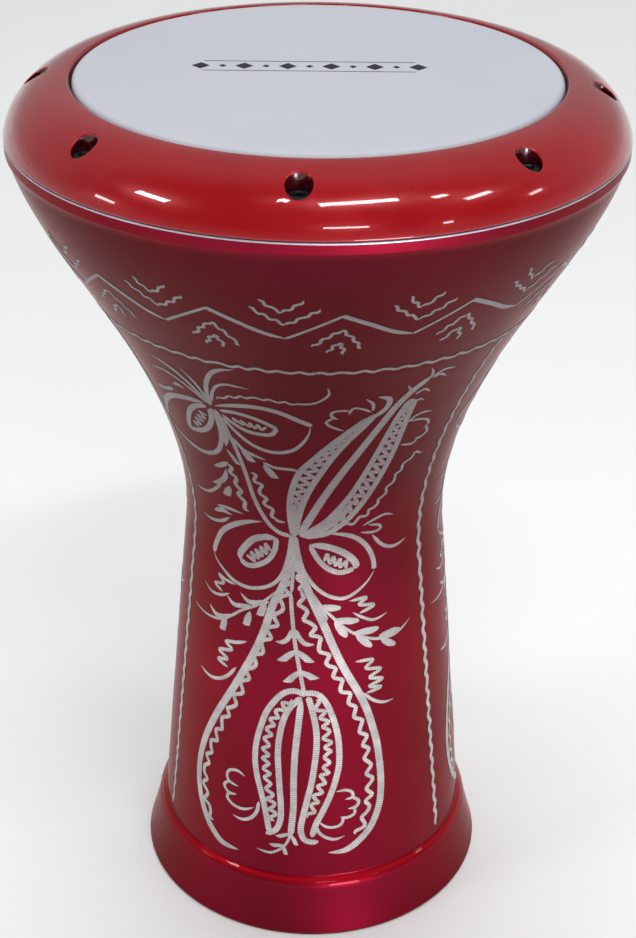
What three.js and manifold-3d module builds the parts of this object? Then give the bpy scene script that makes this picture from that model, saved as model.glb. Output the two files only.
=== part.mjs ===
// Darbuka (goblet drum): a cast goblet shell on a pressed-on foot skirt, and a plastic head in a hoop,
// held down by a tuning ring and eight recessed cap screws.
// Millimetres, +Z up along the drum's axis, origin at the middle of the foot's bottom face.
import * as THREE from 'three';
import { mergeVertices } from 'three/addons/utils/BufferGeometryUtils.js';
import Module from 'manifold-3d';

// ---- Driving dimensions -------------------------------------------------------------------------
const GAP = 0.3; // clearance between pieces that touch
const ROUND = 48; // facets around the big rings
const ROUND_SMALL = 16; // facets around the screws
const EIGHT = 8; // tuning screws
const FIRST_SCREW = -3.2; // degrees from the front (-Y) towards +X

// Shell: straight cone of the neck, narrow waist, S-shaped bowl.
const WALL = 4;
const NECK_FOOT = { r: 82.3, z: 12 }; // lower end of the neck, inside the skirt
const NECK_TOP = { r: 65.9, z: 198 };
const WAIST = { r: 64.7, z: 217 };
const BOWL_MID = { r: 104.9, z: 333.9, slope: 0.54 }; // where the bowl's curve turns over
const BOWL_TOP = { r: 140.8, z: 403.3, slope: 0.26 };
const THROAT_HANDLES = { up: 8, down: 6 }; // reach of each curve's handles, from its lower and its upper end
const LOWER_BOWL_HANDLES = { up: 53, down: 4 };
const UPPER_BOWL_HANDLES = { up: 14.6, down: 23 };
const FLANGE_R = 142.5;
const FLANGE_Z = 410.3;
const FLANGE_THICK = 5;
const SHOULDER_BOTTOM = 402.3;
const SHOULDER_FILLET = { across: 0.8, down: 3 };
const EDGE_OUT = 108.6; // bearing edge, the short wall that the head is stretched over
const EDGE_IN = 104.6;
const EDGE_ROUND = 2;
const INSERT_HOLE_R = 5;

// Head: film with a turned-down collar, and the hoop around it.
const HEAD_R = 110;
const HEAD_TOP = 434.7;
const FILM = 0.6;
const COLLAR_END = 416;
const HOOP = { inner: HEAD_R + GAP, outer: 116.8, bottom: 415, top: 424.6 };

// Tuning ring: a quarter of an ellipse outside, hollow underneath.
const CROWN = { r: 110.6, z: 404.5, wide: 31.6, tall: 29.8 };
const RING_LIP_R = 111.3;
const RING_BASE = 410.8;
const RING_SEAT = HOOP.top + GAP; // the face that presses the hoop down
const RING_INNER_R = HOOP.outer + 0.4;
const GROOVE = { inner: 120.4, outer: 136.4, top: 419, draft: 1, slant: 5 };
const BOSS_R = 8.2;

// Screws: M6 x 25, each on a washer in its counterbore.
const SCREW_CIRCLE = 127.8;
const SCREW = { shank: 3, length: 25, head: 5, headHeight: 6, socket: 2.9, socketDepth: 3.4, edge: 0.5 };
const SCREW_POINT = { in: 0.7, up: 0.9 };
const COUNTERBORE = { r: 5.65, bottom: 417.4 };
const CLEARANCE_R = 3.3;
const WASHER = { inner: 3.2, outer: 5.3, thick: 1.2 };
const INSERT = { inner: 3.3, outer: 4.7, bottom: 401.8, top: 409.9 };

// Foot skirt: pressed over the neck's lower end, which stands on a small shelf inside it.
const FOOT = { crease: 83.8, creaseZ: 30.6, bottom: 90.8, inner: 84.6, top: 33, edge: 1.6, flare: 1.25 };
const FOOT_LEDGE = { drop: 0.6, width: 1.6 };
const FOOT_SHELF = { thick: 3, slant: 1 };

// ---- Materials ----------------------------------------------------------------------------------
function material(color, roughness, metalness) {
  return new THREE.MeshStandardMaterial({ color, roughness, metalness });
}
const candyRed = material(0x7d1424, 0.3, 0.8);
const glossRed = material(0xa3141c, 0.2, 0.2);
const paleFilm = material(0xc2c9d2, 0.45, 0);
const bareAluminium = material(0xb8bac0, 0.4, 0.9);
const blackSteel = material(0x1a1a1d, 0.4, 0.6);
const zincSteel = material(0x9a9da3, 0.35, 0.9);

// ---- Geometry helpers ---------------------------------------------------------------------------
const wasm = await Module();
wasm.setup();

// A closed outline of [radius, height] points, turned about the vertical axis.
function revolve(outline, segments) {
  const loop = outline.map(([r, z]) => new THREE.Vector2(r, z));
  if (THREE.ShapeUtils.area(loop) < 0) loop.reverse();
  loop.push(loop[0].clone());
  const geometry = new THREE.LatheGeometry(loop, segments);
  geometry.rotateX(Math.PI / 2);
  return geometry;
}

// Points along an ellipse's arc, angles in degrees from the outward radius up.
function arc(r, z, wide, tall, from, to, steps) {
  const points = [];
  for (let i = 0; i <= steps; i += 1) {
    const a = THREE.MathUtils.degToRad(from + ((to - from) * i) / steps);
    points.push([r + wide * Math.cos(a), z + tall * Math.sin(a)]);
  }
  return points;
}

function solid(geometry) {
  const bare = geometry.clone();
  bare.deleteAttribute('normal');
  bare.deleteAttribute('uv');
  const merged = mergeVertices(bare, 1e-4);
  return new wasm.Manifold(new wasm.Mesh({
    numProp: 3,
    vertProperties: new Float32Array(merged.attributes.position.array),
    triVerts: new Uint32Array(merged.index.array),
  }));
}

function geometryOf(manifold) {
  const mesh = manifold.getMesh();
  const geometry = new THREE.BufferGeometry();
  geometry.setAttribute('position', new THREE.BufferAttribute(mesh.vertProperties, 3));
  geometry.setIndex(new THREE.BufferAttribute(mesh.triVerts, 1));
  geometry.computeVertexNormals();
  return geometry;
}

// The middle of screw number i, counted anticlockwise from above.
function screwPlace(i) {
  const a = THREE.MathUtils.degToRad(FIRST_SCREW + (360 / EIGHT) * i);
  return [SCREW_CIRCLE * Math.sin(a), -SCREW_CIRCLE * Math.cos(a)];
}

// A plain upright cylinder on screw number i's axis.
function postAt(i, radius, bottom, top, segments = ROUND_SMALL) {
  const [x, y] = screwPlace(i);
  const geometry = new THREE.CylinderGeometry(radius, radius, top - bottom, segments);
  geometry.rotateX(Math.PI / 2);
  geometry.translate(x, y, (top + bottom) / 2);
  return solid(geometry);
}

function forEachScrew(make) {
  return Array.from({ length: EIGHT }, (_, i) => make(i));
}

// ---- Shell --------------------------------------------------------------------------------------
// The goblet's outer line from the neck's end to the top of the bowl, as curves in the (r, z) plane.
function shellCurves() {
  const start = new THREE.Vector2(NECK_FOOT.r, NECK_FOOT.z);
  const top = new THREE.Vector2(NECK_TOP.r, NECK_TOP.z);
  const waist = new THREE.Vector2(WAIST.r, WAIST.z);
  const mid = new THREE.Vector2(BOWL_MID.r, BOWL_MID.z);
  const end = new THREE.Vector2(BOWL_TOP.r, BOWL_TOP.z);
  const neckSlope = (NECK_TOP.r - NECK_FOOT.r) / (NECK_TOP.z - NECK_FOOT.z);
  const along = (point, slope, rise) => new THREE.Vector2(point.x + slope * rise, point.y + rise);
  const curve = (low, lowSlope, { up, down }, highSlope, high) => new THREE.CubicBezierCurve(
    low,
    along(low, lowSlope, up),
    along(high, highSlope, -down),
    high,
  );
  return [
    [new THREE.LineCurve(start, top), 2],
    [curve(top, neckSlope, THROAT_HANDLES, 0, waist), 3],
    [curve(waist, 0, LOWER_BOWL_HANDLES, BOWL_MID.slope, mid), 7],
    [curve(mid, BOWL_MID.slope, UPPER_BOWL_HANDLES, BOWL_TOP.slope, end), 5],
  ];
}

// The same line moved inwards by a distance, so that 0 gives the outside and WALL the inside.
function shellLine(inset) {
  const points = [];
  for (const [curve, steps] of shellCurves()) {
    for (let i = points.length ? 1 : 0; i <= steps; i += 1) {
      const p = curve.getPoint(i / steps);
      const t = curve.getTangent(i / steps);
      points.push([p.x - t.y * inset, p.y + t.x * inset]);
    }
  }
  return points;
}

function shell() {
  const inside = shellLine(WALL).filter(([, z]) => z < SHOULDER_BOTTOM - SHOULDER_FILLET.down);
  const edgeTop = HEAD_TOP - FILM - GAP;
  const outline = [
    ...shellLine(0),
    [FLANGE_R, FLANGE_Z - FLANGE_THICK],
    [FLANGE_R, FLANGE_Z],
    [EDGE_OUT, FLANGE_Z],
    [EDGE_OUT, edgeTop - EDGE_ROUND],
    ...arc(EDGE_OUT - EDGE_ROUND, edgeTop - EDGE_ROUND, EDGE_ROUND, EDGE_ROUND, 45, 180, 3),
    [EDGE_IN, SHOULDER_BOTTOM],
    [inside.at(-1)[0] - SHOULDER_FILLET.across, SHOULDER_BOTTOM],
    ...inside.reverse(),
  ];
  let body = solid(revolve(outline, ROUND));
  for (const hole of forEachScrew((i) => postAt(i, INSERT_HOLE_R, SHOULDER_BOTTOM - 1, FLANGE_Z + 1))) {
    body = body.subtract(hole);
  }
  return geometryOf(body);
}

// ---- Foot ---------------------------------------------------------------------------------------
function footSkirt() {
  const neckSlope = (NECK_TOP.r - NECK_FOOT.r) / (NECK_TOP.z - NECK_FOOT.z);
  const neckAt = (z) => NECK_FOOT.r + neckSlope * (z - NECK_FOOT.z);
  const flare = (t) => [
    FOOT.crease + (FOOT.bottom - FOOT.crease) * t ** FOOT.flare,
    FOOT.creaseZ - (FOOT.creaseZ - FOOT.edge) * t,
  ];
  const outline = [
    [neckAt(FOOT.top) + GAP, FOOT.top - FOOT_LEDGE.drop],
    [FOOT.crease - FOOT_LEDGE.width, FOOT.top - FOOT_LEDGE.drop],
    ...[0, 0.25, 0.5, 0.75, 1].map(flare),
    [FOOT.bottom - FOOT.edge, 0],
    [FOOT.inner, 0],
    [FOOT.inner - FOOT_SHELF.slant, FOOT_SHELF.slant],
    [FOOT.inner - FOOT_SHELF.slant, NECK_FOOT.z - FOOT_SHELF.thick],
    [neckAt(NECK_FOOT.z) - WALL + FOOT_SHELF.slant, NECK_FOOT.z - FOOT_SHELF.slant],
    [neckAt(NECK_FOOT.z) - WALL + FOOT_SHELF.slant, NECK_FOOT.z - GAP],
    [neckAt(NECK_FOOT.z) + GAP, NECK_FOOT.z - GAP],
  ];
  return revolve(outline, ROUND);
}

// ---- Head ---------------------------------------------------------------------------------------
function headFilm() {
  const bend = 3;
  const outline = [
    [0, HEAD_TOP],
    [HEAD_R - bend, HEAD_TOP],
    ...arc(HEAD_R - bend, HEAD_TOP - bend, bend, bend, 60, 0, 2),
    [HEAD_R, COLLAR_END],
    [HEAD_R - FILM, COLLAR_END],
    ...arc(HEAD_R - bend, HEAD_TOP - bend, bend - FILM, bend - FILM, 0, 60, 2),
    [HEAD_R - bend, HEAD_TOP - FILM],
    [0, HEAD_TOP - FILM],
  ];
  return geometryOf(solid(revolve(outline, ROUND)));
}

function headHoop() {
  const chamfer = 0.8;
  const outline = [
    [HOOP.inner, HOOP.bottom],
    [HOOP.outer - chamfer, HOOP.bottom],
    [HOOP.outer, HOOP.bottom + chamfer],
    [HOOP.outer, HOOP.top - chamfer],
    [HOOP.outer - chamfer, HOOP.top],
    [HOOP.inner, HOOP.top],
  ];
  return revolve(outline, ROUND);
}

// ---- Tuning ring --------------------------------------------------------------------------------
function tuningRing() {
  const baseAngle = THREE.MathUtils.radToDeg(Math.asin((RING_BASE - CROWN.z) / CROWN.tall));
  const crown = arc(CROWN.r, CROWN.z, CROWN.wide, CROWN.tall, baseAngle, 86, 9);
  const blank = [
    ...crown,
    [RING_LIP_R, crown.at(-1)[1] - 0.8],
    [RING_LIP_R, RING_SEAT],
    [RING_INNER_R, RING_SEAT],
    [RING_INNER_R, RING_BASE],
  ];
  const groove = [
    [GROOVE.inner, RING_BASE - 1],
    [GROOVE.outer, RING_BASE - 1],
    [GROOVE.outer - GROOVE.draft, GROOVE.top - GROOVE.slant],
    [GROOVE.outer - GROOVE.slant, GROOVE.top],
    [GROOVE.inner + GROOVE.draft, GROOVE.top],
  ];
  let hollow = solid(revolve(groove, ROUND));
  for (const boss of forEachScrew((i) => postAt(i, BOSS_R, RING_BASE - 2, GROOVE.top + 1))) {
    hollow = hollow.subtract(boss);
  }
  let body = solid(revolve(blank, ROUND)).subtract(hollow);
  forEachScrew((i) => {
    body = body.subtract(postAt(i, COUNTERBORE.r, COUNTERBORE.bottom, HEAD_TOP + 1));
    body = body.subtract(postAt(i, CLEARANCE_R, RING_BASE - 1, COUNTERBORE.bottom + 1));
  });
  return geometryOf(body);
}

// ---- Fasteners, drawn on their own axis and then placed -----------------------------------------
function screw() {
  const under = COUNTERBORE.bottom + GAP + WASHER.thick + GAP;
  const top = under + SCREW.headHeight;
  const outline = [
    [0, under - SCREW.length],
    [SCREW.shank - SCREW_POINT.in, under - SCREW.length],
    [SCREW.shank, under - SCREW.length + SCREW_POINT.up],
    [SCREW.shank, under],
    [SCREW.head, under],
    [SCREW.head, top - SCREW.edge],
    [SCREW.head - SCREW.edge, top],
    [0, top],
  ];
  const socket = new THREE.CylinderGeometry(SCREW.socket, SCREW.socket, SCREW.socketDepth + 1, 6);
  socket.rotateX(Math.PI / 2);
  socket.translate(0, 0, top - SCREW.socketDepth + (SCREW.socketDepth + 1) / 2);
  return geometryOf(solid(revolve(outline, ROUND_SMALL)).subtract(solid(socket)));
}

function washer() {
  const bottom = COUNTERBORE.bottom + GAP;
  const top = bottom + WASHER.thick;
  return revolve([
    [WASHER.inner, bottom],
    [WASHER.outer, bottom],
    [WASHER.outer, top],
    [WASHER.inner, top],
  ], ROUND_SMALL);
}

function threadedInsert() {
  return revolve([
    [INSERT.inner, INSERT.bottom],
    [INSERT.outer, INSERT.bottom],
    [INSERT.outer, INSERT.top],
    [INSERT.inner, INSERT.top],
  ], ROUND_SMALL);
}

// ---- The drum -----------------------------------------------------------------------------------
const darbuka = new THREE.Group();

function add(name, geometry, look) {
  const mesh = new THREE.Mesh(geometry, look);
  mesh.name = name;
  darbuka.add(mesh);
  return mesh;
}

add('shell', shell(), candyRed);
add('foot_skirt', footSkirt(), candyRed);
add('drumhead_film', headFilm(), paleFilm);
add('head_hoop', headHoop(), bareAluminium);
add('tuning_ring', tuningRing(), glossRed);

forEachScrew((i) => {
  const [x, y] = screwPlace(i);
  add(`tuning_screw_${i + 1}`, screw(), blackSteel).position.set(x, y, 0);
  add(`screw_washer_${i + 1}`, washer(), zincSteel).position.set(x, y, 0);
  add(`threaded_insert_${i + 1}`, threadedInsert(), zincSteel).position.set(x, y, 0);
});

export default darbuka;
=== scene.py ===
import math
import bmesh
import bpy
import numpy as np
from mathutils import Matrix, Vector


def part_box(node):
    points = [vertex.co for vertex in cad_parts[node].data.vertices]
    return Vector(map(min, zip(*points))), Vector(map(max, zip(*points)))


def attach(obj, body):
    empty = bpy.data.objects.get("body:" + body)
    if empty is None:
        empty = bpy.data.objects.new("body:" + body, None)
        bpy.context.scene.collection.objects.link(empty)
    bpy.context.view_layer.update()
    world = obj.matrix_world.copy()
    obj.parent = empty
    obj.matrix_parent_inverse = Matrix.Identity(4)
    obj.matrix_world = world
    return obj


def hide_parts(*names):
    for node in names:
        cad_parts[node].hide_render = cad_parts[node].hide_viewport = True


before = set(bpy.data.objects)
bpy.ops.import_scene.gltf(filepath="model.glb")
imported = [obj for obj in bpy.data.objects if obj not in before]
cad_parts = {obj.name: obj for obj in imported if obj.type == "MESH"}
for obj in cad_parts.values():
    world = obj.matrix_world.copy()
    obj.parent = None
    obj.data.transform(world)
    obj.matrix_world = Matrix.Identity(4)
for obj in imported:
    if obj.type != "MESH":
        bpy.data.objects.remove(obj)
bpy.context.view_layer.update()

# A darbuka: a cast goblet shell with an engraved ornament, a foot skirt, a plastic head in a hoop,
# and a tuning ring with eight recessed cap screws. Sizes are in millimetres until a mesh is made.
MM = 0.001

# ---- Driving dimensions ----
SEGMENTS = 288  # around the big pieces
SCREWS = 8
FIRST_SCREW = -3.2  # degrees from the front (-Y) towards +X

_, foot_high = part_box("foot_skirt")
shell_low, shell_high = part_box("shell")
ring_low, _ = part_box("tuning_ring")
film_low, film_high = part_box("drumhead_film")

WALL = 4
NECK_END = (82.3, shell_low.z / MM)
NECK_TOP = (65.9, 198)
NECK_SLOPE = (NECK_TOP[0] - NECK_END[0]) / (NECK_TOP[1] - NECK_END[1])
WAIST = (64.7, 217)
BOWL_MID = (104.9, 333.9)
BOWL_MID_SLOPE = 0.54
BOWL_TOP = (140.3, 403.3)
BOWL_TOP_SLOPE = 0.26
FLANGE_R = shell_high.x / MM - 1
FLANGE_Z = 410.3
SHOULDER_Z = 402.3
BEARING_OUT, BEARING_IN = 108.6, 104.6
BEARING_Z = shell_high.z / MM
BARE_EDGE = 0.7  # how much of the flange's edge is free of lacquer
INSERT_HOLE = 5.0

HEAD_R = film_high.x / MM
HEAD_Z = film_high.z / MM
FILM = 0.6
COLLAR_END = film_low.z / MM

CROWN = (110.6, 404.5)  # centre of the tuning ring's elliptical outside
CROWN_WIDE, CROWN_TALL = 31.8, 29.8
RING_LIP = 111.3
RING_BASE = ring_low.z / MM
RING_SEAT = 424.9
RING_INNER = 117.2
SCREW_CIRCLE = 127.8
COUNTERBORE_R, COUNTERBORE_Z = 5.65, 417.4
CLEARANCE_R = 3.3

FOOT_CREASE = (83.8, 30.6)
FOOT_R = foot_high.x / MM
FOOT_TOP = foot_high.z / MM
FOOT_EDGE = 1.6
FOOT_INSIDE = 83.6

SHARP = math.radians(38)  # faces that meet at more than this have a hard edge
CUT_PITCH = 1.3  # between the graver's small cuts across each stroke


# ---- Curves in the (radius, height) plane ----
def bezier(a, b, c, d, steps):
    """Points of a cubic curve from a to d, with b and c as its handles."""
    t = np.linspace(0, 1, steps + 1)[:, None]
    a, b, c, d = (np.array(p, float) for p in (a, b, c, d))
    return (1 - t) ** 3 * a + 3 * t * (1 - t) ** 2 * b + 3 * t * t * (1 - t) * c + t**3 * d


def along(point, slope, rise):
    return (point[0] + slope * rise, point[1] + rise)


def goblet_line():
    """The shell's outer line from the neck's end to the top of the bowl."""
    neck = np.linspace(NECK_END, NECK_TOP, 18)
    throat = bezier(NECK_TOP, along(NECK_TOP, NECK_SLOPE, 8), along(WAIST, 0, -6), WAIST, 8)
    bowl = bezier(WAIST, along(WAIST, 0, 53), along(BOWL_MID, BOWL_MID_SLOPE, -4), BOWL_MID, 44)
    rim_handles = along(BOWL_MID, BOWL_MID_SLOPE, 14.6), along(BOWL_TOP, BOWL_TOP_SLOPE, -23)
    rim = bezier(BOWL_MID, *rim_handles, BOWL_TOP, 26)
    return np.vstack([neck, throat[1:], bowl[1:], rim[1:]])


GOBLET = goblet_line()


def goblet_radius(z):
    return np.interp(z, GOBLET[:, 1], GOBLET[:, 0])


def polar(r, a, z):
    """Places at radius r, height z and an angle a from the front (-Y) towards +X."""
    return np.stack(np.broadcast_arrays(r * np.sin(a), -r * np.cos(a), z), -1)


def unit(vectors):
    return vectors / np.linalg.norm(vectors, axis=-1, keepdims=True)


def inset(line, distance):
    """The line moved towards the axis by a distance, at right angles to itself."""
    t = unit(np.gradient(line, axis=0))
    return line + distance * np.stack([-t[:, 1], t[:, 0]], 1)


def rounded(corners, steps=4):
    """An outline of (radius, height, rounding) corners, each rounded by an arc."""
    outline = []
    for i, (r, z, size) in enumerate(corners):
        here = np.array([r, z], float)
        if size <= 0:
            outline.append(here)
            continue
        before = unit(np.array(corners[i - 1][:2], float) - here)
        after = unit(np.array(corners[(i + 1) % len(corners)][:2], float) - here)
        half = math.acos(max(-1, min(1, float(before @ after)))) / 2
        reach = size / math.tan(half)
        middle = here + unit(before + after) * (size / math.sin(half))
        start, end = here + before * reach - middle, here + after * reach - middle
        turn = math.atan2(start[0] * end[1] - start[1] * end[0], float(start @ end))
        for k in range(steps + 1):
            a = turn * k / steps
            c, s = math.cos(a), math.sin(a)
            outline.append(middle + [c * start[0] - s * start[1], s * start[0] + c * start[1]])
    return np.array(outline)


# ---- Meshes ----
class Build:
    """Collects grids of points in millimetres and welds them into one mesh in metres."""

    def __init__(self):
        self.points = []
        self.faces = []
        self.marks = []
        self.values = {}
        self.count = 0

    def grid(self, rows, around=False, closed=False, mark=0, **values):
        """Quads between neighbouring rows. around joins each row's ends, closed joins the last row
        to the first. mark is the material's place in the mesh's list."""
        rows = np.asarray(rows, float)
        n, m = rows.shape[:2]
        index = np.arange(n * m).reshape(n, m) + self.count
        if around:
            index = np.hstack([index, index[:, :1]])
        if closed:
            index = np.vstack([index, index[:1]])
        quads = np.stack([index[:-1, :-1], index[:-1, 1:], index[1:, 1:], index[1:, :-1]], -1)
        self.points.append(rows.reshape(-1, 3))
        self.faces += quads.reshape(-1, 4).tolist()
        for key, value in values.items():
            self.values.setdefault(key, []).append(np.broadcast_to(value, (n, m)).reshape(-1))
        self.finish(mark, n * m)

    def turn(self, outline, segments=SEGMENTS, **settings):
        """An outline turned about the drum's axis."""
        a = math.radians(FIRST_SCREW) + np.arange(segments) * 2 * np.pi / segments
        r, z = np.array(outline, float).T[..., None]
        self.grid(polar(r, a, z), around=True, **settings)

    def triangle(self, a, b, c, mark=0):
        self.points.append(np.array([a, b, c]))
        self.faces.append((self.count, self.count + 1, self.count + 2))
        self.finish(mark, 3)

    def finish(self, mark, added):
        self.marks += [mark] * (len(self.faces) - len(self.marks))
        self.count += added

    def mesh(self, name, materials, weld=True):
        me = bpy.data.meshes.new(name)
        me.from_pydata((np.vstack(self.points) * MM).tolist(), [], self.faces)
        me.polygons.foreach_set("material_index", self.marks)
        for key, parts in self.values.items():
            attribute = me.attributes.new(key, "FLOAT", "POINT")
            attribute.data.foreach_set("value", np.concatenate(parts).astype(np.float32))
        if weld:
            bm = bmesh.new()
            bm.from_mesh(me)
            bmesh.ops.remove_doubles(bm, verts=bm.verts, dist=2e-6)
            bmesh.ops.dissolve_degenerate(bm, edges=bm.edges, dist=1e-7)
            bmesh.ops.recalc_face_normals(bm, faces=bm.faces)
            bm.to_mesh(me)
            bm.free()
        me.shade_smooth()
        me.set_sharp_from_angle(angle=SHARP)
        for material in materials:
            me.materials.append(material)
        return me


def add_object(name, data):
    piece = bpy.data.objects.new(name, data)
    bpy.context.scene.collection.objects.link(piece)
    return piece


def place(name, mesh, body, slot, *stands_for):
    """Makes the mesh a piece of the drum that moves with a body."""
    piece = add_object(name, mesh)
    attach(piece, body)
    if stands_for:
        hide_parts(*stands_for)


def turned_mesh(name, outline, material, segments=SEGMENTS, **values):
    build = Build()
    build.turn(outline, segments, closed=True, **values)
    return build.mesh(name, [material])


def screw_place(i):
    return polar(SCREW_CIRCLE, math.radians(FIRST_SCREW + 360 / SCREWS * i), 0)


def holed_ring(build, radii, height, hole, window, fillet=0.0, mark=0):
    """A ring-shaped surface of height(radius) with a round hole on each screw's axis, in a square
    window of finer faces. The hole's edge is rounded downwards by fillet. Gives each hole's centre,
    the directions out from it, and its rim."""
    per_sector = SEGMENTS // SCREWS
    half_window = round(window / SCREW_CIRCLE / (2 * math.pi) * SEGMENTS)
    inner = int(np.argmin(abs(radii - (SCREW_CIRCLE - window))))
    outer = int(np.argmin(abs(radii - (SCREW_CIRCLE + window))))
    walls = []

    def at(column, row):
        a = math.radians(FIRST_SCREW) + column * 2 * math.pi / SEGMENTS
        return polar(radii[row], a, height(radii[row]))

    def patch(columns, rows):
        build.grid([[at(c, k) for c in columns] for k in rows], mark=mark)

    def loop(plan, drop=0):
        return np.column_stack([plan, [height(r) - drop for r in np.hypot(*plan.T)]])

    for i in range(SCREWS):
        c0 = i * per_sector
        left, right = c0 - half_window, c0 + half_window
        patch(range(right, c0 + per_sector - half_window + 1), range(len(radii)))
        patch(range(left, right + 1), range(inner + 1))
        patch(range(left, right + 1), range(outer, len(radii)))
        edge = [at(c, inner) for c in range(left, right)]
        edge += [at(right, k) for k in range(inner, outer)]
        edge += [at(c, outer) for c in range(right, left, -1)]
        edge += [at(left, k) for k in range(outer, inner, -1)]
        edge = np.array(edge)
        centre = screw_place(i)[:2]
        out = unit(edge[:, :2] - centre)
        loops = [edge]
        for f in (0.25, 0.5, 0.75, 0.9, 1.0):
            loops.append(loop(edge[:, :2] * (1 - f) + (centre + out * (hole + fillet)) * f))
        for a in np.radians([22, 45, 68, 90]) if fillet else ():
            plan = centre + out * (hole + fillet * (1 - math.sin(a)))
            loops.append(loop(plan, fillet * (1 - math.cos(a))))
        build.grid(loops, around=True, mark=mark)
        walls.append((centre, out, loops[-1]))
    return walls


def join_rims(build, centre, top, bottom, mark):
    """The wall between a round hole's two rims, which may have different numbers of points."""

    def by_angle(rim):
        a = np.arctan2(rim[:, 1] - centre[1], rim[:, 0] - centre[0])
        return a[np.argsort(a)], rim[np.argsort(a)]

    def angle_after(a, i):
        return a[(i + 1) % len(a)] + 2 * math.pi * (i + 1 >= len(a))

    (a, top), (b, bottom) = by_angle(top), by_angle(bottom)
    n, m = len(a), len(b)
    i = j = 0
    while i < n or j < m:
        if j >= m or (i < n and angle_after(a, i) < angle_after(b, j)):
            build.triangle(top[i % n], top[(i + 1) % n], bottom[j % m], mark)
            i += 1
        else:
            build.triangle(top[i % n], bottom[(j + 1) % m], bottom[j % m], mark)
            j += 1


# ---- Shader nodes ----
class Nodes:
    """Adds and links the nodes of a tree."""

    def __init__(self, tree):
        self.tree = tree

    def node(self, kind, **settings):
        node = self.tree.nodes.new(kind)
        for key, value in settings.items():
            setattr(node, key, value)
        return node

    def link(self, source, target):
        self.tree.links.new(source, target)

    def axis(self, where, name):
        parts = self.node("ShaderNodeSeparateXYZ")
        self.link(where, parts.inputs[0])
        return parts.outputs[name]

    def remap(self, value, low, high, to_low, to_high):
        node = self.node("ShaderNodeMapRange")
        ends = {"From Min": low, "From Max": high, "To Min": to_low, "To Max": to_high}
        for key, number in ends.items():
            node.inputs[key].default_value = number
        self.link(value, node.inputs["Value"])
        return node.outputs["Result"]

    def math(self, operation, a, b):
        node = self.node("ShaderNodeMath", operation=operation)
        for socket, value in zip(node.inputs, (a, b)):
            if isinstance(value, (int, float)):
                socket.default_value = value
            else:
                self.link(value, socket)
        return node.outputs[0]


class Look(Nodes):
    """A material whose shader inputs are worked out by nodes."""

    def __init__(self, name, **constants):
        self.material = bpy.data.materials.new(name)
        self.material.use_nodes = True
        super().__init__(self.material.node_tree)
        self.shader = self.tree.nodes["Principled BSDF"]
        self.set(**constants)
        self.where = self.node("ShaderNodeTexCoord").outputs["Object"]

    def set(self, **constants):
        for key, value in constants.items():
            self.shader.inputs[key.replace("_", " ")].default_value = value

    def into(self, name, source):
        self.link(source, self.shader.inputs[name])

    def noise(self, scale, detail):
        node = self.node("ShaderNodeTexNoise")
        node.inputs["Scale"].default_value = scale
        node.inputs["Detail"].default_value = detail
        self.link(self.where, node.inputs["Vector"])
        return node.outputs["Fac"]

    def turning_marks(self, across, along):
        """A noise of fine rings round the drum's axis."""
        stretch = self.node("ShaderNodeMapping")
        stretch.inputs["Scale"].default_value = (across, across, along)
        self.link(self.where, stretch.inputs["Vector"])
        rings = self.noise(1, 2)
        self.link(stretch.outputs["Vector"], rings.node.inputs["Vector"])
        return rings

    def height(self, low, high):
        """0 below one height in metres and 1 above the other."""
        return self.remap(self.axis(self.where, "Z"), low, high, 0, 1)

    def mix(self, factor, a, b):
        node = self.node("ShaderNodeMix", data_type="RGBA")
        self.link(factor, node.inputs["Factor"])
        for socket, value in ((node.inputs[6], a), (node.inputs[7], b)):
            if isinstance(value, tuple):
                socket.default_value = (*value, 1)
            else:
                self.link(value, socket)
        return node.outputs[2]

    def clouds(self, noise, dark, light, low=0.3, high=0.7):
        """A colour that drifts between two with a noise."""
        return self.mix(self.remap(noise, low, high, 0, 1), dark, light)

    def roughness(self, noise, low, high):
        self.into("Roughness", self.remap(noise, 0.3, 0.7, low, high))

    def bump(self, height, distance, strength=1.0, normal=None):
        node = self.node("ShaderNodeBump")
        node.inputs["Distance"].default_value = distance * MM
        node.inputs["Strength"].default_value = strength
        self.link(height, node.inputs["Height"])
        if normal is not None:
            self.link(normal, node.inputs["Normal"])
        return node.outputs["Normal"]

    def attribute(self, name):
        return self.node("ShaderNodeAttribute", attribute_name=name).outputs["Fac"]


def candy_red():
    """Transparent red lacquer over a satin metal ground, darkened on the bowl as painted shade.
    A brighter, glossier, less metallic red on a band that the mesh marks paints the foot crease's
    sheen."""
    look = Look("candy_red", Coat_Roughness=0.03, Coat_IOR=1.27)
    look.set(Specular_Tint=(0.6, 0.04, 0.1, 1), Specular_IOR_Level=0.2)
    # painted shade: the lacquer's colour is darkened on the bowl, but not on the flange's lip, for
    # the dark reflections the bowl shows
    bowl = look.math("SUBTRACT", look.height(0.15, 0.26), look.height(0.402, 0.406))
    # painted sheen: along a band at the foot's crease the base colour turns a brighter red, with
    # less metal and a full coat
    pooled = look.attribute("pooled")
    light = (0.23, 0.0015, 0.019)
    ground = look.clouds(look.noise(14, 3), (0.175, 0.001, 0.013), light, 0.35, 0.65)
    # mixes the painted bowl shade into the base colour
    ground = look.mix(look.remap(bowl, 0, 1, 0, 0.75), ground, (0.045, 0.001, 0.005))
    flake = look.remap(look.noise(5200, 1), 0.62, 0.75, 0, 0.4)
    ground = look.mix(flake, ground, (0.40, 0.02, 0.05))
    look.into("Base Color", look.mix(pooled, ground, (0.42, 0.004, 0.008)))
    look.into("Metallic", look.remap(pooled, 0, 1, 0.95, 0.2))
    look.into("Coat Weight", look.remap(pooled, 0, 1, 0.45, 1))
    look.roughness(look.noise(60, 4), 0.36, 0.44)
    turning = look.turning_marks(8, 900)
    peel = look.bump(look.noise(420, 2), 0.02, 0.35)
    look.into("Normal", look.bump(turning, 0.02, 0.25, peel))
    return look.material


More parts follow.
